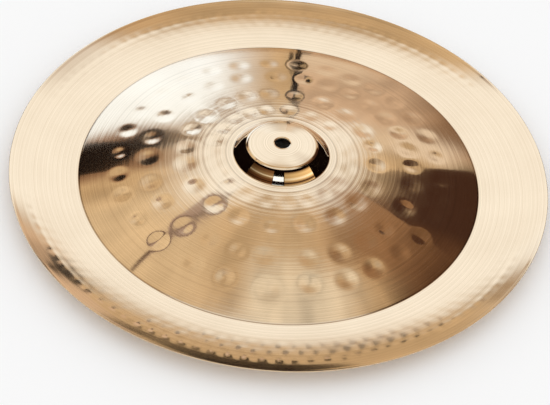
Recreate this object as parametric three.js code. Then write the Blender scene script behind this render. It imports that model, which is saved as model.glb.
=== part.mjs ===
// An 18 inch china cymbal: one disc of sheet bronze, pressed, hammered and turned.
// Millimetres, +Z up. The bell is on top and the flange turns up at the rim. The origin is on the
// cymbal's axis, in the plane that the underside of the crease rests on.
import * as THREE from "three";

const { degToRad, lerp, mapLinear } = THREE.MathUtils;

// Section of the upper face, from the hole outwards. Heights are counted from the crease.
const holeDiameter = 13;
const seatDiameter = 22; // the level ring that the felt washers press on
const bellTopHeight = 33.9;
const crownDiameter = 56.4; // where the bell's shallow cone ends and the shoulder rolls over
const bellDiameter = 80.8; // where the bell's steep side ends above the foot bend
const bellSideEndHeight = 22.85;
const bowDiameter = 338.8; // where the bow ends and the short drop to the crease begins
const bowEndHeight = 1;
const dropDiameter = 341.4;
const dropEndHeight = 0.42;
const cymbalDiameter = 457.2; // 18 inches
const rimHeight = 14.5;

// Bends of the section: the radius of each, and the slopes that they leave the sheet at
const seatBend = 30;
const shoulderBend = 6;
const footBend = 1.5;
const creaseBend = 2.5;
const crownSlope = degToRad(-6.2);
const shoulderEndSlope = degToRad(-36);
const bowSlopeAtBell = degToRad(-5);
const flangeSlopeAtCrease = degToRad(6.5);

// The sheet is heaviest at the top of the bell and thins towards the rim
const topThickness = 1.35;
const creaseThickness = 1.1;
const rimThickness = 0.85;

// Rows of round dents, pressed through the bow from above. A row's place is its share of the way
// from the bell to the crease, and its reach, half a dent's width, is a share of that way too.
const bowRows = [
  { placeShare: 0.135, reachShare: 0.065, count: 21, depth: 0.25, wander: 1.2 },
  { placeShare: 0.325, reachShare: 0.08, count: 21, depth: 0.42, wander: 1.6 },
  { placeShare: 0.568, reachShare: 0.083, count: 27, depth: 0.45, wander: 1.6 },
  { placeShare: 0.761, reachShare: 0.08, count: 31, depth: 0.42, wander: 1.6 },
];

// Rows of small narrow marks in the upper face of the flange, placed alike between crease and rim
const flangeRows = [
  { placeShare: 0.43, reachShare: 0.06, count: 112, depth: 0.16, wander: 0.5 },
  { placeShare: 0.56, reachShare: 0.07, count: 112, depth: 0.2, wander: 0.7 },
  { placeShare: 0.75, reachShare: 0.09, count: 112, depth: 0.2, wander: 0.7 },
];

// Marks stray a little from their even places, as hand-guided hammering leaves them
const strayShare = 0.14; // along the row, as a share of the spacing
const depthVaryShare = 0.3;
const rowShiftShare = 0.3; // each row starts this share of a spacing further round
const goldenTurn = Math.PI * (3 - Math.sqrt(5)); // an angle that never repeats, used to scatter

// Facets: vertices per ring, and where the rings lie across a row of dents
const topSegments = 48;
const bellSegments = 64;
const creaseSegments = 88;
const flangeSegments = 112;
const rimSegments = 144;
const shoulderSteps = 4;
const bendSteps = 2;
const creaseSteps = 3;
const flangePlainSteps = 2;
const upperDentShares = [-1, -0.5, 0, 0.5, 1];
const underDentShares = [-1, 0, 1];

const half = (diameter) => diameter / 2;

// A station is a place on the section: its radius, its height and the sheet's slope there.
// A bend leaves a station and turns to an end slope. Its radius is negative if it turns down.
function bend(start, bendRadius, endSlope) {
  const at = (slope) => ({
    radius: start.radius + bendRadius * (Math.sin(slope) - Math.sin(start.slope)),
    height: start.height + bendRadius * (Math.cos(start.slope) - Math.cos(slope)),
    slope,
  });
  return { start, bendRadius, at, end: at(endSlope) };
}

// The bend that leaves a station and runs through a place further out.
function sweep(start, diameter, height) {
  const run = half(diameter) - start.radius;
  const rise = height - start.height;
  const chordSlope = Math.atan2(rise, run);
  const bendRadius = Math.hypot(run, rise) / (2 * Math.sin(chordSlope - start.slope));
  return bend(start, bendRadius, 2 * chordSlope - start.slope);
}

// The place where a straight stretch from a station reaches a diameter.
function straight(start, diameter) {
  const run = half(diameter) - start.radius;
  const height = start.height + run * Math.tan(start.slope);
  return { ...start, radius: half(diameter), height };
}

// The station at a radius on a bend.
function stationAt({ start, bendRadius, at }, radius) {
  return at(Math.asin(Math.sin(start.slope) + (radius - start.radius) / bendRadius));
}

// Stations along a bend, from just after its start to its end.
function stationsAlong(curve, steps) {
  return Array.from({ length: steps }, (_, i) =>
    curve.at(lerp(curve.start.slope, curve.end.slope, (i + 1) / steps)),
  );
}

// The section, piece by piece
const hole = { radius: half(holeDiameter), height: bellTopHeight, slope: 0 };
const seatEdge = { radius: half(seatDiameter), height: bellTopHeight, slope: 0 };
const seatFold = bend(seatEdge, -seatBend, crownSlope);
const crownEdge = straight(seatFold.end, crownDiameter);
const shoulder = bend(crownEdge, -shoulderBend, shoulderEndSlope);
const side = sweep(shoulder.end, bellDiameter, bellSideEndHeight);
const foot = bend(side.end, footBend, bowSlopeAtBell);
const bow = sweep(foot.end, bowDiameter, bowEndHeight);
const drop = sweep(bow.end, dropDiameter, dropEndHeight);
const crease = bend(drop.end, creaseBend, flangeSlopeAtCrease);
const flange = sweep(crease.end, cymbalDiameter, rimHeight);

// The thickness is even across the seat, and tapers from there to the crease and to the rim.
function thicknessAt(radius) {
  const [seat, fold, rim] = [seatEdge.radius, crease.start.radius, flange.end.radius];
  return radius < fold
    ? mapLinear(Math.max(radius, seat), seat, fold, topThickness, creaseThickness)
    : mapLinear(radius, fold, rim, creaseThickness, rimThickness);
}

// Where each mark of a row is struck, and how deep it goes.
function struckMarks(row, rowNumber) {
  return Array.from({ length: row.count }, (_, k) => {
    const turn = goldenTurn * (k + 1) * (rowNumber + 2);
    const place = k + strayShare * Math.cos(turn) + rowShiftShare * rowNumber;
    return {
      azimuth: (2 * Math.PI * place) / row.count,
      wander: row.wander * Math.sin(turn),
      depth: row.depth * (1 + depthVaryShare * Math.sin(turn * goldenTurn)),
    };
  });
}

// A ring is a list of places on the sheet, in order round the axis, each with the dent's depth there.
function plainRing(station, count) {
  return Array.from({ length: count }, (_, k) => ({
    station,
    azimuth: (2 * Math.PI * k) / count,
    dent: 0,
  }));
}

// The radius that lies a share of a row's reach out from the middle of the row.
function rowRadius(curve, row, reachShare) {
  return lerp(curve.start.radius, curve.end.radius, row.placeShare + reachShare * row.reachShare);
}

// A ring across a row of marks: one place in each mark and one between it and the next. The share
// says how far the ring lies from the row's middle, in reaches, and the dents fade out with it.
function markedRing(curve, row, rowNumber, share) {
  const fade = 1 - share ** 2;
  const radius = rowRadius(curve, row, share);
  const marks = struckMarks(row, rowNumber);
  return marks.flatMap((mark, k) => {
    const next = marks[(k + 1) % row.count].azimuth + (k + 1 < row.count ? 0 : 2 * Math.PI);
    return [
      {
        station: stationAt(curve, radius + fade * mark.wander),
        azimuth: mark.azimuth,
        dent: fade * mark.depth,
      },
      { station: stationAt(curve, radius), azimuth: (mark.azimuth + next) / 2, dent: 0 },
    ];
  });
}

function bellRings() {
  const wall = [
    seatFold.end,
    crownEdge,
    ...stationsAlong(shoulder, shoulderSteps),
    ...stationsAlong(side, bendSteps),
    ...stationsAlong(foot, bendSteps),
  ];
  return [
    ...[hole, seatEdge].map((s) => plainRing(s, topSegments)),
    ...wall.map((s) => plainRing(s, bellSegments)),
  ];
}

function bowRings(dentShares) {
  return bowRows.flatMap((row, number) =>
    dentShares.map((share) => markedRing(bow, row, number, share)),
  );
}

function creaseRings() {
  return [
    bow.end,
    ...stationsAlong(drop, bendSteps),
    ...stationsAlong(crease, creaseSteps),
  ].map((s) => plainRing(s, creaseSegments));
}

function flangeRings(dentShares) {
  const firstMark = rowRadius(flange, flangeRows[0], -1);
  const plain = Array.from({ length: flangePlainSteps }, (_, i) =>
    lerp(flange.start.radius, firstMark, (i + 1) / flangePlainSteps),
  );
  return [
    ...plain.map((radius) => plainRing(stationAt(flange, radius), flangeSegments)),
    ...flangeRows.flatMap((row, number) => [
      ...dentShares.map((share) => markedRing(flange, row, number, share)),
      plainRing(stationAt(flange, rowRadius(flange, row, 1)), flangeSegments),
    ]),
    plainRing({ ...flange.end, slope: 0 }, rimSegments), // the edge is trimmed upright
  ];
}

// Where a place of a ring lies once the sheet is dented, or on the underside below it.
function sheetPoint({ station, azimuth, dent }, below) {
  const depth = dent + below;
  const radius = station.radius + depth * Math.sin(station.slope);
  const height = station.height - depth * Math.cos(station.slope);
  return new THREE.Vector3(radius * Math.cos(azimuth), radius * Math.sin(azimuth), height);
}

const upperPoints = (ring) => ring.map((place) => sheetPoint(place, 0));
const underPoints = (ring) =>
  ring.map((place) => sheetPoint(place, thicknessAt(place.station.radius)));

// The strip of triangles between two rings of points, always taking the shorter next edge.
function strip(near, far) {
  const triangles = [];
  let i = 0;
  let j = 0;
  while (i < near.length || j < far.length) {
    const a = near[i % near.length];
    const b = far[j % far.length];
    const nextA = near[(i + 1) % near.length];
    const nextB = far[(j + 1) % far.length];
    const alongNear = i < near.length && (j === far.length || nextA.distanceTo(b) < a.distanceTo(nextB));
    triangles.push(a, b, alongNear ? nextA : nextB);
    if (alongNear) i += 1;
    else j += 1;
  }
  return triangles;
}

// The whole sheet: out along the upper face, over the rim and back along the underside.
function sheetGeometry() {
  const upper = [...bellRings(), ...bowRings(upperDentShares), ...creaseRings(), ...flangeRings([0])];
  const under = [...bellRings(), ...bowRings(underDentShares), ...creaseRings(), ...flangeRings([])];
  const loop = [...upper.map(upperPoints), ...under.toReversed().map(underPoints)];
  const points = loop.flatMap((ring, i) => strip(ring, loop[(i + 1) % loop.length]));
  const geometry = new THREE.BufferGeometry().setFromPoints(points);
  geometry.computeBoundingBox();
  geometry.translate(0, 0, -geometry.boundingBox.min.z);
  geometry.computeVertexNormals();
  return geometry;
}

const bronze = new THREE.MeshStandardMaterial({ color: 0xe0b878, metalness: 1, roughness: 0.2 });
const cymbal = new THREE.Mesh(sheetGeometry(), bronze);
cymbal.name = "cymbal";

const part = new THREE.Group();
part.add(cymbal);
export default part;
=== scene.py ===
"""An 18 inch china cymbal of turned and hammered bronze, on a white table in a soft studio."""
import math

import bmesh
import bpy
import numpy as np
from mathutils import Matrix, Vector


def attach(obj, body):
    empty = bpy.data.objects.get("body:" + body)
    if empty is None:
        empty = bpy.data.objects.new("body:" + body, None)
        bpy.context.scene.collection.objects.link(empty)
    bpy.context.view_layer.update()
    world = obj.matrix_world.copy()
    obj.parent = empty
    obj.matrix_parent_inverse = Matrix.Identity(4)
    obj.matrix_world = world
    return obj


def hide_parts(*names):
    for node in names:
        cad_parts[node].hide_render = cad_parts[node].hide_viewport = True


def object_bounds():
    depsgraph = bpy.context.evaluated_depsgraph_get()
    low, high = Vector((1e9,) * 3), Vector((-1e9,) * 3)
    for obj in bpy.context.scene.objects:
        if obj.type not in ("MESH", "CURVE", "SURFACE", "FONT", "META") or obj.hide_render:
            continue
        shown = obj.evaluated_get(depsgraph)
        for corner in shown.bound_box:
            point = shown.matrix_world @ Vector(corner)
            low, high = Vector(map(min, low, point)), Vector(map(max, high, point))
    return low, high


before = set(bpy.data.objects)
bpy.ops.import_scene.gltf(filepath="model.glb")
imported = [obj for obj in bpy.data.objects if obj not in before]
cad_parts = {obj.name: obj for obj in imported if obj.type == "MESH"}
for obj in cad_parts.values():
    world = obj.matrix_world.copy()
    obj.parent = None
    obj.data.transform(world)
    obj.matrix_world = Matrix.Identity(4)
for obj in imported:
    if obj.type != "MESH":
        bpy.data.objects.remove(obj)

cad_low, cad_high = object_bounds()
mm = 0.001
full_turn = 2 * math.pi


# The section of the sheet
# Millimetres. A station is a radius, a height above the crease and the sheet's slope there in radians.

hole_radius = 6.5
bell_top_height = 33.9
seat_radius = 11
seat_bend = 30
crown_slope = math.radians(-6.2)
crown_radius = 28.2
shoulder_bend = 6
shoulder_slope = math.radians(-36)
bell_side_radius, bell_side_height = 40.4, 22.85
foot_bend = 1.5
bow_slope = math.radians(-5)
bow_radius, bow_end_height = 170.4, 0.42
drop_radius, drop_end_height = 171.07, 0.2
crease_bend = 2.5
flange_slope = math.radians(6.5)
rim_radius, rim_height = 228.6, 14.5
top_thickness, crease_thickness, rim_thickness = 1.35, 1.1, 0.85


def on_bend(start, radius, slope):
    """The station at a slope on the arc of a radius that leaves the start."""
    r, h, first = start
    return (
        r + radius * (math.sin(slope) - math.sin(first)),
        h + radius * (math.cos(first) - math.cos(slope)),
        slope,
    )


def bend(start, radius, end_slope):
    """The arc that leaves a station and turns to an end slope; a negative radius turns down."""
    return {"start": start, "radius": radius, "end": on_bend(start, radius, end_slope)}


def sweep(start, radius, height):
    """The arc that leaves a station and runs through a place further out."""
    run, rise = radius - start[0], height - start[1]
    chord = math.atan2(rise, run)
    arc = math.hypot(run, rise) / (2 * math.sin(chord - start[2]))
    return bend(start, arc, 2 * chord - start[2])


def straight(start, radius):
    """The place where a straight stretch from a station reaches a radius."""
    r, h, slope = start
    return (radius, h + (radius - r) * math.tan(slope), slope)


hole = (hole_radius, bell_top_height, 0.0)
seat_edge = (seat_radius, bell_top_height, 0.0)
seat_fold = bend(seat_edge, -seat_bend, crown_slope)
crown_edge = straight(seat_fold["end"], crown_radius)
shoulder = bend(crown_edge, -shoulder_bend, shoulder_slope)
side = sweep(shoulder["end"], bell_side_radius, bell_side_height)
foot = bend(side["end"], foot_bend, bow_slope)
bow = sweep(foot["end"], bow_radius, bow_end_height)
drop = sweep(bow["end"], drop_radius, drop_end_height)
crease = bend(drop["end"], crease_bend, flange_slope)
flange = sweep(crease["end"], rim_radius, rim_height)

# Height 0 lies this far above z = 0, which puts the bell's top at the top of the CAD solid
lift = cad_high.z / mm - bell_top_height


def even_steps(first, last, steps):
    """Values at even steps, from just after the first to the last."""
    return [first + (last - first) * (i + 1) / steps for i in range(steps)]


def along(arc, steps):
    """Stations at even slopes, from just after the start of an arc to its end."""
    slopes = even_steps(arc["start"][2], arc["end"][2], steps)
    return [on_bend(arc["start"], arc["radius"], slope) for slope in slopes]


def station_at(arc, radius):
    """The station of an arc at a radius from the axis."""
    start = arc["start"]
    turn = math.sin(start[2]) + (radius - start[0]) / arc["radius"]
    return on_bend(start, arc["radius"], math.asin(max(-1, min(1, turn))))


def between(arc, first, last, steps):
    """Stations at even radii, from just after the first radius to the last."""
    return [station_at(arc, radius) for radius in even_steps(first, last, steps)]


def thickness(radius):
    """Even across the seat, tapering from there to the crease and on to the rim."""
    fold = crease["start"][0]
    if radius < fold:
        share = (max(radius, seat_radius) - seat_radius) / (fold - seat_radius)
        return top_thickness + (crease_thickness - top_thickness) * share
    share = (radius - fold) / (rim_radius - fold)
    return crease_thickness + (rim_thickness - crease_thickness) * share


def upper_places(stations):
    """Each station with its place on the upper face."""
    return [(station, station[:2]) for station in stations]


def under_places(stations):
    """Each station with its place on the underside, square below it."""
    places = []
    for r, h, slope in stations:
        t = thickness(r)
        places.append(((r, h, slope), (r + t * math.sin(slope), h - t * math.cos(slope))))
    return places


# Where the rings of vertices lie
# They are close together over the shoulder, the bell's side and the hammered stretches.

seat_radii = (8.5, seat_radius)
crown_radii = (18, 23, crown_radius)
dents_start, dents_end = 50, 152
marks_start, marks_end = 184, 224
last_ring_radius = 228.2

bell_upper = (
    [(r, bell_top_height, 0.0) for r in seat_radii] + along(seat_fold, 2)
    + [straight(seat_fold["end"], r) for r in crown_radii]
    + along(shoulder, 7) + along(side, 7) + along(foot, 4)
)
bell_under = (
    [seat_edge, seat_fold["end"], crown_edge]
    + along(shoulder, 3) + along(side, 3) + along(foot, 2)
)
bow_upper = (
    between(bow, foot["end"][0], dents_start, 4) + between(bow, dents_start, dents_end, 62)
    + between(bow, dents_end, bow_radius, 7) + along(drop, 3)
)
bow_under = (
    between(bow, foot["end"][0], dents_start, 1) + between(bow, dents_start, dents_end, 26)
    + between(bow, dents_end, bow_radius, 2) + along(drop, 1)
)
flange_upper = (
    between(flange, crease["end"][0], marks_start, 6) + between(flange, marks_start, marks_end, 29)
    + between(flange, marks_end, last_ring_radius, 3)
)
flange_under = between(flange, crease["end"][0], last_ring_radius, 9)


# The disc
# Its inner half is the bell and the bow, and its outer half the crease and the flange. Each is a
# chain of vertices turned round the axis in its own number of steps, and they meet in the crease.

inner_steps = 432
outer_steps = 768
doublings = 4
same_place = 1e-6  # metres; vertices that are closer together are one

hole_break = 0.25  # the edges of the hole are broken by this much
rim_break = 0.28  # and those of the rim by this much down the edge
rim_upper_round = (0.1, 0.06)  # in from the rim and down from the upper face
rim_lower_round = (0.12, 0.05)  # in from the rim and up from the underside

# What each vertex remembers until the hammering is done. The sheet's face is 1 on the upper side,
# -1 on the underside and 0 on an edge.
layer_names = ("station_radius", "station_slope", "sheet_face")


def profile(bm, places, face):
    """Vertices of a chain in the XZ plane, each with its station and its face of the sheet."""
    radius_layer, slope_layer, face_layer = [bm.verts.layers.float[name] for name in layer_names]
    verts = []
    for (r, _, slope), (x, z) in places:
        v = bm.verts.new((x * mm, 0, (z + lift) * mm))
        v[radius_layer] = r
        v[slope_layer] = slope
        v[face_layer] = face
        verts.append(v)
    return verts


def chain(bm, verts):
    """Edges from each vertex to the next."""
    for pair in zip(verts, verts[1:]):
        bm.edges.new(pair)


def turn_round(bm, steps):
    """Turns a chain round the axis: a sixteenth of a turn by spin, and the rest in four doublings."""
    shares = 2**doublings
    bmesh.ops.spin(
        bm, geom=bm.verts[:] + bm.edges[:], cent=(0, 0, 0), axis=(0, 0, 1), dvec=(0, 0, 0),
        angle=full_turn / shares, space=Matrix.Identity(4), steps=steps // shares, use_merge=False,
        use_normal_flip=False, use_duplicate=False,
    )
    for doubling in range(doublings):
        copy = bmesh.ops.duplicate(bm, geom=bm.verts[:] + bm.edges[:] + bm.faces[:])["geom"]
        verts = [v for v in copy if isinstance(v, bmesh.types.BMVert)]
        turn = Matrix.Rotation(full_turn / shares * 2**doubling, 3, "Z")
        bmesh.ops.rotate(bm, cent=(0, 0, 0), matrix=turn, verts=verts)
    bmesh.ops.remove_doubles(bm, verts=bm.verts[:], dist=same_place)


def inner_half(bm):
    """Bell and bow: in along the underside, over the edge of the hole, and out along the top."""
    top, bottom = bell_top_height, bell_top_height - top_thickness
    edge = (
        (hole_radius + hole_break, bottom),
        (hole_radius, bottom + hole_break),
        (hole_radius, top - hole_break),
        (hole_radius + hole_break, top),
    )
    below = profile(bm, under_places(bell_under + bow_under)[::-1], -1)
    over = profile(bm, [(hole, place) for place in edge], 0)
    above = profile(bm, upper_places(bell_upper + bow_upper), 1)
    chain(bm, below + over + above)
    turn_round(bm, inner_steps)


def outer_half(bm):
    """Crease and flange: out along the top, over the trimmed rim, and in along the underside."""
    top, bottom = rim_height, rim_height - rim_thickness
    edge = (
        (rim_radius - rim_upper_round[0], top - rim_upper_round[1]),
        (rim_radius, top - rim_break),
        (rim_radius, bottom + rim_break),
        (rim_radius - rim_lower_round[0], bottom + rim_lower_round[1]),
    )
    rim = (flange["end"][0], flange["end"][1], 0.0)
    above = profile(bm, upper_places(along(crease, 5) + flange_upper), 1)
    over = profile(bm, [(rim, place) for place in edge], 0)
    below = profile(bm, under_places(along(crease, 3) + flange_under)[::-1], -1)
    chain(bm, above + over + below)
    turn_round(bm, outer_steps)


def open_loops(bm):
    """The open rings of edges, in order of height."""
    left = {e for e in bm.edges if e.is_boundary}
    loops = []
    while left:
        edge = left.pop()
        loop, front = {edge}, [edge]
        while front:
            near = {e for v in front.pop().verts for e in v.link_edges if e in left}
            left -= near
            loop |= near
            front += near
        loops.append(loop)
    return sorted(loops, key=lambda ring: max(v.co.z for e in ring for v in e.verts))


def join_halves(bm):
    """The halves meet in the crease, top to top and underside to underside."""
    lower_a, lower_b, upper_a, upper_b = open_loops(bm)
    bmesh.ops.bridge_loops(bm, edges=list(lower_a | lower_b))
    bmesh.ops.bridge_loops(bm, edges=list(upper_a | upper_b))


# Hammer marks
# Round dents in rows on the bow, pressed through the sheet, each at its own azimuth in degrees.
# Radius, reach and depth are in millimetres.

dent_rows = (
    {"radius": 58.5, "reach": 8.8, "depth": 0.32, "azimuths": (
        87.7, 107, 122, 137, 154, 171, 185, 199, 212, 226)},
    {"radius": 58.5, "reach": 8.8, "depth": 0.17, "azimuths": (
        8, 27, 47, 67, 244, 262, 279, 295, 312, 329, 350)},
    {"radius": 82.5, "reach": 10.8, "depth": 0.48, "azimuths": (
        1, 17.7, 32, 50, 67, 85.4, 101, 115, 130, 147.7, 162.3, 180, 193.8, 213, 232)},
    {"radius": 82.5, "reach": 10.8, "depth": 0.34, "azimuths": (248.5, 268.5, 287.7, 307, 324.6, 340.8)},
    {"radius": 113.5, "reach": 11.2, "depth": 0.48, "azimuths": (
        4.6, 15.5, 27, 38, 48.5, 60, 71.5, 83, 95.4, 112.3, 126.5, 140.4, 157, 172.8, 185.4, 201,
        214, 230.3, 338.5, 353)},
    {"radius": 113.5, "reach": 11.2, "depth": 0.36, "azimuths": (
        243.1, 256, 267, 285, 298.5, 312, 322.3)},
    {"radius": 138, "reach": 11, "depth": 0.46, "azimuths": (
        0, 12.7, 23.8, 35, 45.5, 55.4, 65, 75.8, 87, 98, 110, 121.5, 133, 145, 157.5, 169.2, 181.5,
        192.7, 202.5, 215.8, 228, 243.5, 255.4, 283.5, 296.2, 307)},
    {"radius": 138, "reach": 11, "depth": 0.3, "azimuths": (319.2, 330, 341.5, 351)},
    {"radius": 142.5, "reach": 13.5, "depth": 0.5, "azimuths": (270,)},
)
dent_wander = 1.2  # millimetres to either side of the row's radius
dent_spread = 1.13  # every dent is this much wider than its reach, besides its chance share
dent_reach_shares = (0.84, 1.12)
dent_depth_shares = (0.7, 1.25)
dent_window = 1.4  # a row is felt within this many reaches of its radius

# Narrow marks side by side along the flange, in its upper face only. A row's first mark is turned
# by its shift, a share of the spacing, and half a mark's length is given in millimetres.
mark_rows = (
    {"radius": 188, "length": 4.6, "depth": 0.012, "count": 108, "shift": 0.75},
    {"radius": 196, "length": 5.0, "depth": 0.04, "count": 108, "shift": 0.25},
    {"radius": 204.5, "length": 5.2, "depth": 0.045, "count": 108, "shift": 0.7},
    {"radius": 213, "length": 5.2, "depth": 0.052, "count": 108, "shift": 0.25},
)
mark_stray = 0.16  # along the row, in halves of the spacing
mark_wander = 1.1  # across the row, in millimetres
mark_margin = 1.2  # a row is felt this far beyond its length, in millimetres
mark_depth_shares = (0.6, 1.3)
mark_lean = 0.12  # how far a mark's end leans along the row, in halves of the spacing
hard_struck_azimuths = (244, 277)  # between these the marks are deeper
hard_struck_share = 2.1

# Faint rings that the turning left towards the rim, in millimetres
ridge_start = 201
ridge_spacing = 6.1
ridge_height = 0.014


def bow_dents(radius, azimuth):
    """How deep the sheet is pressed at each place, in millimetres."""
    depth = np.zeros_like(radius)
    x, y = radius * np.cos(azimuth), radius * np.sin(azimuth)
    draw = np.random.default_rng(7)
    for row in dent_rows:
        near = np.nonzero(np.abs(radius - row["radius"]) < row["reach"] * dent_window)[0]
        for degrees in row["azimuths"]:
            a = math.radians(degrees)
            r = row["radius"] + draw.uniform(-dent_wander, dent_wander)
            reach = dent_spread * row["reach"] * draw.uniform(*dent_reach_shares)
            deep = row["depth"] * draw.uniform(*dent_depth_shares)
            away = ((x[near] - r * math.cos(a)) ** 2 + (y[near] - r * math.sin(a)) ** 2) / reach**2
            depth[near] += deep * np.clip(1 - away, 0, 1) ** 3
    return depth


def flange_marks(radius, azimuth):
    """How deep the flange's marks are at each place, in millimetres."""
    depth = np.zeros_like(radius)
    draw = np.random.default_rng(11)
    for row in mark_rows:
        count = row["count"]
        stray = draw.uniform(-mark_stray, mark_stray, count)
        out = draw.uniform(-mark_wander, mark_wander, count)
        deep = row["depth"] * draw.uniform(*mark_depth_shares, count)
        middles = (np.arange(count) + row["shift"]) * 360 / count
        first, last = hard_struck_azimuths
        deep[(middles > first) & (middles < last)] *= hard_struck_share
        near = np.nonzero(np.abs(radius - row["radius"]) < row["length"] + mark_margin)[0]
        place = azimuth[near] / full_turn * count - row["shift"]
        mark = np.round(place).astype(int) % count
        u = (radius[near] - row["radius"] - out[mark]) / row["length"]
        v = 2 * (place - np.round(place) - stray[mark] / 2) + mark_lean * u
        depth[near] += deep[mark] * np.clip(1 - u * u, 0, 1) ** 2 * np.clip(1 - v * v, 0, 1) ** 1.5
    return depth


def flange_ridges(radius):
    """The turned rings, which grow from nothing over their first spacing."""
    turns = (radius - ridge_start) / ridge_spacing
    return ridge_height * np.clip(turns, 0, 1) * np.cos(full_turn * turns)


def hammer(mesh):
    """Moves the vertices in by the depth of the marks, square to the sheet."""
    count = len(mesh.vertices)
    co = np.empty(count * 3)
    mesh.vertices.foreach_get("co", co)
    co = co.reshape(-1, 3)
    values = []
    for name in layer_names:
        value = np.empty(count)
        mesh.attributes[name].data.foreach_get("value", value)
        values.append(value)
    radius, slope, face = values
    azimuth = np.arctan2(co[:, 1], co[:, 0]) % full_turn
    through = np.abs(face) > 0.5
    upper = face > 0.5
    depth = bow_dents(radius, azimuth) * through
    depth += (flange_marks(radius, azimuth) + flange_ridges(radius)) * upper
    depth *= mm
    co[:, 0] += depth * np.sin(slope) * np.cos(azimuth)
    co[:, 1] += depth * np.sin(slope) * np.sin(azimuth)
    co[:, 2] -= depth * np.cos(slope)
    mesh.vertices.foreach_set("co", co.ravel())


def hammered_disc():
    mesh = bpy.data.meshes.new("hammered_disc")
    whole = bmesh.new()
    for build in (inner_half, outer_half):
        bm = bmesh.new()
        for name in layer_names:
            bm.verts.layers.float.new(name)
        build(bm)
        bm.to_mesh(mesh)
        bm.free()
        whole.from_mesh(mesh)
    join_halves(whole)
    bmesh.ops.recalc_face_normals(whole, faces=whole.faces[:])
    whole.to_mesh(mesh)
    whole.free()
    hammer(mesh)
    for name in layer_names:
        mesh.attributes.remove(mesh.attributes[name])
    mesh.shade_smooth()
    obj = bpy.data.objects.new("hammered_disc", mesh)
    bpy.context.scene.collection.objects.link(obj)
    return obj


# Materials

class Nodes:
    """The node tree of a material or a world, cleared, with short ways to add and link nodes."""

    def __init__(self, owner):
        owner.use_nodes = True
        self.tree = owner.node_tree
        self.tree.nodes.clear()

    def add(self, kind, **settings):
        node = self.tree.nodes.new(kind)
        for name, value in settings.items():
            setattr(node, name, value)
        return node

    def feed(self, socket, value):
        """Links a socket to another node's output, or sets its own value."""
        if isinstance(value, bpy.types.NodeSocket):
            self.tree.links.new(value, socket)
        else:
            socket.default_value = value

    def finish(self, surface, kind="ShaderNodeOutputMaterial"):
        self.feed(self.add(kind).inputs["Surface"], surface)

    def object_place(self):
        return self.add("ShaderNodeTexCoord").outputs["Object"]

    def split(self, vector):
        node = self.add("ShaderNodeSeparateXYZ")
        self.feed(node.inputs[0], vector)
        return node.outputs["X"], node.outputs["Y"]

    def math(self, operation, first, second=0.0):
        node = self.add("ShaderNodeMath", operation=operation)
        self.feed(node.inputs[0], first)
        self.feed(node.inputs[1], second)
        return node.outputs[0]

    def noise(self, place, scale, detail):
        node = self.add("ShaderNodeTexNoise")
        self.feed(node.inputs["Vector"], place)
        self.feed(node.inputs["Scale"], scale)
        self.feed(node.inputs["Detail"], detail)
        return node.outputs["Fac"]

    def smooth_step(self, value, start, end):
        """0 up to the start, 1 from the end on, and a soft change between them."""
        node = self.add("ShaderNodeMapRange", interpolation_type="SMOOTHSTEP")
        self.feed(node.inputs["Value"], value)
        self.feed(node.inputs["From Min"], start)
        self.feed(node.inputs["From Max"], end)
        return node.outputs[0]

    def mix(self, first, second, share):
        node = self.add("ShaderNodeMix", data_type="RGBA")
        self.feed(node.inputs["Factor"], share)
        self.feed(node.inputs["A"], first)
        self.feed(node.inputs["B"], second)
        return node.outputs["Result"]

    def ramp(self, value, stops):
        """Colours given for places from 0 to 1."""
        node = self.add("ShaderNodeValToRGB")
        self.feed(node.inputs["Fac"], value)
        elements = node.color_ramp.elements
        for element, (place, colour) in zip(elements, stops):
            element.position, element.color = place, colour
        for place, colour in stops[2:]:
            elements.new(place).color = colour
        return node.outputs["Color"]


def grey(value):
    return (value, value, value, 1)


# Turned bronze
# How strongly the turning grooved the sheet, by radius in millimetres; the bell is nearly smooth
deepest_groove = 2.2
groove_depths = (
    (0, 0.03), (41.6, 0.05), (43.5, 2.2), (75, 1.5), (95, 1), (155, 1), (171, 0.5), (175, 0.12),
    (200, 0.2), (228, 0.35))
wide_lines_per_metre, wide_detail = 330, 0.0
fine_lines_per_metre, fine_detail = 1000, 2.0
wide_share = 2.2  # how much higher the wide lines are than the fine ones
line_height = 0.000012  # metres

# The bell is polished and the rest is brushed: roughness by radius
roughnesses = (
    (0, 0.03), (41.5, 0.03), (44, 0.085), (170, 0.085), (173, 0.1), (205, 0.1), (214, 0.06),
    (228, 0.055))

# Thin rings painted dark: radius, half the width and how dark. Those from 44.8 to 66.6 are darker lines at
# the edges of turned bands, those at 131, 145.3 and 152 are painted reflections of dark lines in the
# grooves, and the one at 171.6 is painted shade in the crease
dark_rings = (
    (44.8, 0.25, 0.35), (47.3, 0.3, 0.4), (50.4, 0.25, 0.3), (66.6, 1.0, 0.3), (131, 0.3, 0.3),
    (145.3, 0.35, 0.4), (152, 0.3, 0.35), (171.6, 0.45, 0.85))
# Colour of the dark rings: darker band edges, painted reflections in the grooves and painted shade in the
# crease
dark_line_and_painted_shade = (0.16, 0.085, 0.045, 1)

# The metal's colour wanders between these with soft clouds and with the fine lines
darker_bronze = (0.72, 0.53, 0.335, 1)
paler_bronze = (0.87, 0.665, 0.44, 1)
cloud_scale, cloud_detail = 18, 3
cloud_share, line_share = 0.35, 0.65
blur_direction = 0.25  # of a turn: reflections blur square to the turned lines


def by_radius(values):
    """Ramp stops for values that are given by radius."""
    return [(radius / rim_radius, grey(value)) for radius, value in values]


def dark_ring_stops():
    values = []
    for ring, half, dark in dark_rings:
        values += [(ring - half, 0), (ring, dark), (ring + half, 0)]
    return by_radius(values)


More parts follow.
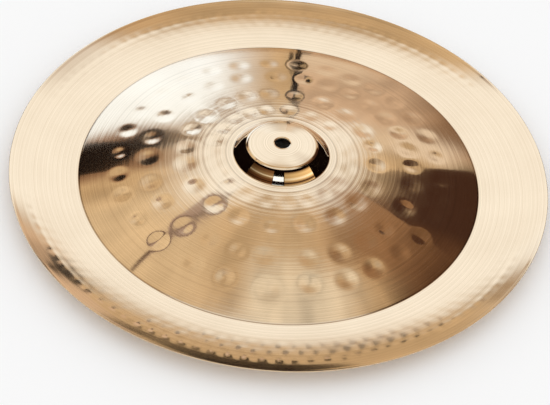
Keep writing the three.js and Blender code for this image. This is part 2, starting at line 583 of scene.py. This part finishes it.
def turned_bronze():
    material = bpy.data.materials.new("turned_bronze")
    n = Nodes(material)
    place = n.object_place()
    x, y = n.split(place)
    radius = n.math("SQRT", n.math("ADD", n.math("MULTIPLY", x, x), n.math("MULTIPLY", y, y)))
    outward = n.math("MULTIPLY", radius, 1 / (rim_radius * mm))

    def lines(per_metre, detail):
        """Irregular rings about the axis."""
        node = n.add("ShaderNodeTexNoise", noise_dimensions="1D")
        n.feed(node.inputs["W"], n.math("MULTIPLY", radius, per_metre))
        n.feed(node.inputs["Scale"], 1)
        n.feed(node.inputs["Detail"], detail)
        return node.outputs["Fac"]

    fine = lines(fine_lines_per_metre, fine_detail)
    wide = lines(wide_lines_per_metre, wide_detail)
    heights = n.math("ADD", n.math("MULTIPLY", wide, wide_share), fine)
    cut = n.ramp(outward, by_radius([(r, depth / deepest_groove) for r, depth in groove_depths]))
    bump = n.add("ShaderNodeBump")
    n.feed(bump.inputs["Strength"], 1)
    n.feed(bump.inputs["Distance"], line_height)
    n.feed(bump.inputs["Height"], n.math("MULTIPLY", heights, n.math("MULTIPLY", cut, deepest_groove)))

    cloud = n.noise(place, cloud_scale, cloud_detail)
    wandering = n.math("ADD", n.math("MULTIPLY", cloud, cloud_share), n.math("MULTIPLY", fine, line_share))
    colour = n.ramp(wandering, ((0.3, darker_bronze), (0.7, paler_bronze)))
    # The rings are painted darker: band edges, painted reflections of dark lines and painted shade in the
    # crease
    colour = n.mix(colour, dark_line_and_painted_shade, n.ramp(outward, dark_ring_stops()))

    shader = n.add("ShaderNodeBsdfPrincipled")
    n.feed(shader.inputs["Base Color"], colour)
    n.feed(shader.inputs["Metallic"], 1)
    n.feed(shader.inputs["Roughness"], n.ramp(outward, by_radius(roughnesses)))
    n.feed(shader.inputs["Anisotropic"], 1)
    n.feed(shader.inputs["Anisotropic Rotation"], blur_direction)
    tangent = n.add("ShaderNodeTangent", direction_type="RADIAL", axis="Z")
    n.feed(shader.inputs["Tangent"], tangent.outputs[0])
    n.feed(shader.inputs["Normal"], bump.outputs[0])
    n.finish(shader.outputs[0])
    return material


# Camera

camera_elevation = math.radians(43.22)
camera_distance = 1.2
camera_lens, camera_sensor = 91.216, 36  # millimetres
camera_shift = (-0.00851, -0.05536)
camera_roll = math.radians(5.51)

aim = Vector((0, 0, lift * mm))
towards_camera = Vector((0, -math.cos(camera_elevation), math.sin(camera_elevation)))
camera_place = aim + camera_distance * towards_camera


def make_camera():
    data = bpy.data.cameras.new("camera")
    data.lens = camera_lens
    data.sensor_width = camera_sensor
    data.shift_x, data.shift_y = camera_shift
    camera = bpy.data.objects.new("camera", data)
    bpy.context.scene.collection.objects.link(camera)
    camera.location = camera_place
    facing = towards_camera.to_track_quat("Z", "Y").to_matrix()
    camera.rotation_euler = (facing @ Matrix.Rotation(camera_roll, 3, "Z")).to_euler()
    bpy.context.scene.camera = camera


# Room

table_reach = 4
table_gap = 0.0003
table_white = 0.95


def mesh_of(bm, name):
    mesh = bpy.data.meshes.new(name)
    bm.to_mesh(mesh)
    bm.free()
    return mesh


def white_room():
    """A white world, and a pale table that keeps the shadow."""
    world = bpy.data.worlds.new("white_room")
    bpy.context.scene.world = world
    n = Nodes(world)
    back = n.add("ShaderNodeBackground")
    n.feed(back.inputs["Color"], grey(1))
    n.feed(back.inputs["Strength"], 1)
    n.finish(back.outputs[0], "ShaderNodeOutputWorld")

    bm = bmesh.new()
    bmesh.ops.create_grid(bm, x_segments=1, y_segments=1, size=table_reach)
    table = bpy.data.objects.new("table", mesh_of(bm, "table"))
    table.location.z = -table_gap
    bpy.context.scene.collection.objects.link(table)
    material = bpy.data.materials.new("white_table")
    n = Nodes(material)
    shader = n.add("ShaderNodeBsdfDiffuse")
    n.feed(shader.inputs["Color"], grey(table_white))
    n.finish(shader.outputs[0])
    table.data.materials.append(material)


# Studio cards
# The cymbal mirrors them. Most of them stand square to the ray that a level face throws back from
# the camera, at a distance along it, and are measured in metres across, which is +X, and up, which
# is towards the ceiling. Where one hides another, the nearer one is seen.

card_axis = Vector((0, math.cos(camera_elevation), math.sin(camera_elevation)))
card_across = Vector((1, 0, 0))
card_up = card_across.cross(card_axis)

unevenness_scale, unevenness_detail = 7, 2
blot_scale, blot_detail = 11, 2
blot_edge = 0.08


def hang(name, mesh, placed):
    """Cards light only what mirrors them: the camera and the table don't see them."""
    obj = bpy.data.objects.new(name, mesh)
    obj.matrix_world = placed
    bpy.context.scene.collection.objects.link(obj)
    obj.visible_camera = False
    obj.visible_diffuse = False
    obj.visible_shadow = False


def presence(n, place, sides, fades, patchy):
    """How much of a card there is at each place, from 0 to 1."""
    x, y = n.split(place)
    left, right, low, high = sides
    inward = (
        ("SUBTRACT", x, left), ("SUBTRACT", right, x),
        ("SUBTRACT", y, low), ("SUBTRACT", high, y))
    share = 1
    if patchy:
        blots = n.noise(place, blot_scale, blot_detail)
        share = n.smooth_step(blots, patchy - blot_edge, patchy + blot_edge)
    for gap, fade in zip(inward, fades):
        if fade:
            share = n.math("MULTIPLY", share, n.smooth_step(n.math(*gap), 0, fade))
    return share


def glow(name, colour, strength=1, sides=(0, 0, 0, 0), fades=(0, 0, 0, 0), uneven=0, patchy=0):
    """A card's light. It fades out over the lengths given for the left, right, low and high sides,
    and may be uneven. A patchy card, which has to fade at a side too, is open between its blots, the
    more so the higher the number, from 0 to 1."""
    material = bpy.data.materials.new(name)
    n = Nodes(material)
    place = n.object_place()
    light = n.add("ShaderNodeEmission")
    n.feed(light.inputs["Color"], (*colour, 1))
    if uneven:
        cloud = n.noise(place, unevenness_scale, unevenness_detail)
        swing = n.math("MULTIPLY", n.math("SUBTRACT", cloud, 0.5), 2 * uneven)
        strength = n.math("MULTIPLY", n.math("ADD", swing, 1), strength)
    n.feed(light.inputs["Strength"], strength)
    surface = light.outputs[0]
    if any(fades):
        mix = n.add("ShaderNodeMixShader")
        n.feed(mix.inputs["Fac"], presence(n, place, sides, fades, patchy))
        n.feed(mix.inputs[1], n.add("ShaderNodeBsdfTransparent").outputs[0])
        n.feed(mix.inputs[2], surface)
        surface = mix.outputs[0]
    n.finish(surface)
    return material


def flat_mesh(name, outlines):
    """Flat faces in the XY plane, one for each outline."""
    bm = bmesh.new()
    for outline in outlines:
        bm.faces.new([bm.verts.new((x, y, 0)) for x, y in outline])
    return mesh_of(bm, name)


def sheet(name, outline, distance, colour, **light):
    """A card of any outline, given as places across and up."""
    mesh = flat_mesh(name, [outline])
    mesh.materials.append(glow(name, colour, **light))
    placed = Matrix((card_across, card_up, -card_axis)).transposed().to_4x4()
    placed.translation = card_axis * distance
    hang(name, mesh, placed)


def box(name, across, up, distance, colour, **light):
    """An upright card, from left to right across and from low to high up."""
    left, right = across
    low, high = up
    outline = ((left, low), (right, low), (right, high), (left, high))
    sheet(name, outline, distance, colour, sides=(left, right, low, high), **light)


# Light colours of the cards. The first two are above 1 and bluish, because bronze warms what it
# mirrors.
cold_white = (1.24, 1.56, 2.1)
cream = (1.18, 1.33, 1.56)
rose_white = (0.98, 0.93, 0.9)
ivory = (0.87, 0.87, 0.84)
sand = (0.9, 0.82, 0.74)
gold_tan = (0.93, 0.83, 0.68)
straw = (0.86, 0.75, 0.59)
pink = (0.68, 0.55, 0.46)
tan = (0.65, 0.525, 0.37)
mauve = (0.45, 0.36, 0.35)
olive = (0.42, 0.31, 0.2)
umber = (0.36, 0.22, 0.13)
walnut = (0.34, 0.21, 0.14)
chestnut = (0.28, 0.18, 0.12)
haze_brown = (0.11, 0.055, 0.032)
dark_mauve = (0.10, 0.06, 0.05)
dark_brown = (0.062, 0.028, 0.019)
black = (0.010, 0.006, 0.006)

# Outlines across and up, in metres
blot_arc_degrees = range(98, 172, 6)
blot_arc_reach = (0.33, 0.44)
mauve_wedge = (
    (-0.64, 0.66), (-0.595, 0.60), (-0.47, 0.478), (-0.42, 0.39), (-0.377, 0.35), (-0.28, 0.28),
    (-0.22, 0.31), (-0.24, 0.36), (-0.28, 0.405), (-0.36, 0.45), (-0.46, 0.51), (-0.60, 0.63))
far_streak = (
    (-0.47, 0.49), (-0.40, 0.44), (-0.30, 0.37), (-0.24, 0.33), (-0.21, 0.325), (-0.29, 0.385),
    (-0.39, 0.45), (-0.47, 0.503), (-0.60, 0.622), (-0.67, 0.71), (-0.69, 0.70), (-0.61, 0.605))
dark_left = (
    (-1.0, -0.22), (-0.78, -0.21), (-0.63, -0.165), (-0.49, -0.195), (-0.40, -0.17), (-0.31, -0.14),
    (-0.36, -0.09), (-0.45, -0.065), (-0.52, -0.04), (-0.66, 0.03), (-0.80, 0.0), (-1.0, 0.02))
dark_right = (
    (0.35, 0.11), (0.356, 0.183), (0.488, 0.221), (0.58, 0.26), (0.80, 0.34), (1.5, 0.5), (1.5, -0.6),
    (0.80, -0.29), (0.712, -0.245), (0.56, -0.14), (0.458, -0.053), (0.38, 0.0))


def blot_arc():
    """A curved strip, along its inner side and back along its outer one."""
    turns = [math.radians(degrees) for degrees in blot_arc_degrees]
    inner, outer = blot_arc_reach
    strip = [(inner * math.cos(t), -inner * math.sin(t)) for t in turns]
    return strip + [(outer * math.cos(t), -outer * math.sin(t)) for t in turns[::-1]]


def far_cards():
    """Lights and darks on the far side. The last ones hide parts of those before them."""
    box("dark_back", (-1.3, 1.6), (-1.15, 1.5), 1.40, black)
    box("left_wing", (-3.4, -0.95), (-1.3, 1.8), 1.39, gold_tan, fades=(0.8, 0.1, 0, 0.3), uneven=0.8)
    box("right_wing", (1.35, 3.4), (-1.3, 1.8), 1.39, gold_tan, fades=(0.25, 0.8, 0, 0.3), uneven=0.8)
    box("tan_sheet", (-1.2, 0.86), (-1.15, 1.3), 1.30, tan, fades=(0, 0.25, 0, 0), uneven=0.9)
    box("left_sheet", (-1.3, -0.12), (0.12, 1.1), 1.295, straw, fades=(0, 0.35, 0.2, 0.3), uneven=0.6)
    box("bright_top", (-0.8, 0.8), (1.0, 1.6), 1.295, cream, strength=0.9, fades=(0.1, 0.1, 0.25, 0))
    box("high_box", (-0.22, 0.60), (0.60, 1.25), 1.28, ivory, fades=(0.2, 0.3, 0.2, 0.1), uneven=0.9)
    box("front_box", (-0.55, 0.42), (-0.40, 0.40), 1.24, cream, fades=(0.3, 0.2, 0.2, 0.13))
    box("shade", (0.08, 1.1), (0.08, 0.75), 1.235, umber, fades=(0.35, 0, 0.14, 0.25), uneven=0.5)
    box("low_right_box", (0.02, 0.95), (-0.90, -0.24), 1.22, pink, fades=(0, 0.2, 0.03, 0.12), uneven=0.9)
    box("right_brown", (0.36, 1.1), (-0.90, -0.28), 1.219, chestnut, fades=(0.25, 0, 0, 0.1), uneven=0.4)
    box("right_light", (0.34, 0.72), (-0.42, -0.14), 1.218, rose_white, fades=(0.12, 0.12, 0.12, 0.1))
    box("low_light", (0.03, 0.38), (-0.90, -0.55), 1.218, sand, fades=(0, 0.2, 0.03, 0.2))
    box("low_left_box", (-0.95, -0.02), (-0.90, -0.15), 1.22, cold_white, fades=(0.1, 0.3, 0.03, 0.14))
    sheet(
        "tan_blots", blot_arc(), 1.215, olive, sides=(-1, 1, -1, 1), fades=(0.1, 0.1, 0.1, 0.1),
        patchy=0.5)
    sheet("mauve_wedge", mauve_wedge, 1.205, mauve, sides=(-2, 2, 0.24, 2), fades=(0, 0, 0.12, 0))
    sheet("far_streak", far_streak, 1.20, dark_mauve)
    box("left_brown", (-1.1, -0.30), (-0.27, 0.10), 1.195, walnut, fades=(0.1, 0.3, 0.09, 0.09), uneven=0.5)
    sheet("dark_left", dark_left, 1.19, black, sides=(-2, -0.31, -1, 1), fades=(0, 0.2, 0, 0))
    sheet("dark_right", dark_right, 1.19, dark_brown, sides=(0.30, 2, -1, 1), fades=(0.25, 0, 0, 0))
    box("brown_haze", (0.42, 1.5), (0.16, 0.85), 1.18, haze_brown, fades=(0.38, 0, 0.14, 0.1), uneven=0.6)


# A dark rod behind the cymbal, its middle closer than its ends. Its far parts are outlines across
# and up in metres. Its near one is given in millimetres, by places on its middle line: across, up
# and half the width.
far_rod_distance = 1.20
far_rod = (
    ((0.014, -0.33), (0.042, -0.33), (0.056, -0.45), (0.016, -0.45)),
    ((0.004, -0.60), (0.028, -0.60), (0.018, -0.65), (0.0085, -0.67), (0.0075, -1.10), (-0.0045, -1.10),
     (-0.006, -0.69), (0.000, -0.65)),
)
near_rod_distance = 280
low_rod = ((10, 16, 7), (9.5, 24, 5), (8.5, 32, 3), (8.5, 42, 2.5))
high_rod = ((10.5, 52, 6), (11, 66, 4.8), (11, 76, 4.2), (8.5, 87, 4.4), (7.5, 101, 5))


def rod_outline(middle_line):
    """Up the left side of a stretch of rod and down its right side, in metres."""
    left = [((x - half) * mm, z * mm) for x, z, half in middle_line]
    right = [((x + half) * mm, z * mm) for x, z, half in middle_line[::-1]]
    return left + right


def rod_cards():
    for i, outline in enumerate(far_rod):
        sheet(f"far_rod_{i}", outline, far_rod_distance, black)
    mesh = flat_mesh("near_rod", [rod_outline(low_rod), rod_outline(high_rod)])
    mesh.materials.append(glow("near_rod", black))
    upright = Matrix.Rotation(math.radians(90), 4, "X")
    upright.translation = (0, near_rod_distance * mm, 0)
    hang("near_rod", mesh, upright)


# Cards over the camera's side, for the bell's steep near side. They lie on spheres round the bell
# and are given by what they fill there: azimuths of the bell, and slopes of its side in degrees,
# each with the light seen at it.
patch_steps = 12
soot = (0.004, 0.002, 0.002)
rust = (0.16, 0.07, 0.03)
copper = (0.28, 0.17, 0.09)
amber = (0.42, 0.30, 0.17)
gold = (0.85, 0.66, 0.38)
bright = (1.2, 1.2, 1.1)
hood_shades = ((32, soot), (36, soot), (40, soot), (44, soot), (48.5, soot))
left_panes = (
    (37, rust), (39.2, copper), (41, amber), (41.7, bright), (42.3, amber), (43.8, rust), (45.2, rust))
right_panes = (
    (37.4, rust), (39, gold), (40.2, gold), (41.6, gold), (42.8, bright), (43.8, gold), (45.2, rust))
flash_shades = ((40.8, cold_white), (44.2, cold_white))


def thrown(azimuth, slope, distance):
    """Where the bell's side, at one of its slopes, throws back the ray that comes from the camera."""
    first, last = -math.degrees(side["start"][2]), -math.degrees(side["end"][2])
    share = (slope - first) / (last - first)
    radius = side["start"][0] + (side["end"][0] - side["start"][0]) * share
    height = side["start"][1] + (side["end"][1] - side["start"][1]) * share + lift
    out = Vector((math.cos(azimuth), math.sin(azimuth), 0))
    place = (radius * out + Vector((0, 0, height))) * mm
    normal = math.sin(math.radians(slope)) * out + Vector((0, 0, math.cos(math.radians(slope))))
    view = (camera_place - place).normalized()
    return place + distance * (2 * view.dot(normal) * normal - view)


def patch(name, azimuths, shades, distance, swell=(1, 1)):
    """A card on a sphere, with a light for each slope, which swells from azimuth to azimuth."""
    bm = bmesh.new()
    light = bm.verts.layers.float_color.new("light")
    grid = []
    for i in range(patch_steps + 1):
        share = i / patch_steps
        azimuth = math.radians(azimuths[0] + (azimuths[1] - azimuths[0]) * share)
        level = swell[0] + (swell[1] - swell[0]) * share
        row = []
        for slope, colour in shades:
            v = bm.verts.new(thrown(azimuth, slope, distance))
            v[light] = (*[c * level for c in colour], 1)
            row.append(v)
        grid.append(row)
    for near, far in zip(grid, grid[1:]):
        for quad in zip(near, near[1:], far[1:], far):
            bm.faces.new(quad)
    mesh = mesh_of(bm, name)
    material = bpy.data.materials.new(name)
    n = Nodes(material)
    shine = n.add("ShaderNodeEmission")
    n.feed(shine.inputs["Color"], n.add("ShaderNodeAttribute", attribute_name="light").outputs["Color"])
    n.finish(shine.outputs[0])
    mesh.materials.append(material)
    hang(name, mesh, Matrix.Identity(4))


def bell_cards():
    """A dark hood, and in front of it two windows and the flash between them."""
    patch("hood", (168, 378), hood_shades, 0.80)
    patch("left_window", (227, 262), left_panes, 0.76, swell=(0.3, 1))
    patch("right_window", (277, 318), right_panes, 0.76, swell=(0.7, 1.5))
    patch("flash", (262.5, 276), flash_shades, 0.74, swell=(1.3, 1.1))


# The scene

bpy.context.scene.view_settings.view_transform = "Standard"
make_camera()
disc = hammered_disc()
disc.data.materials.append(turned_bronze())
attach(disc, "root")
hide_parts("cymbal")
white_room()
far_cards()
rod_cards()
bell_cards()
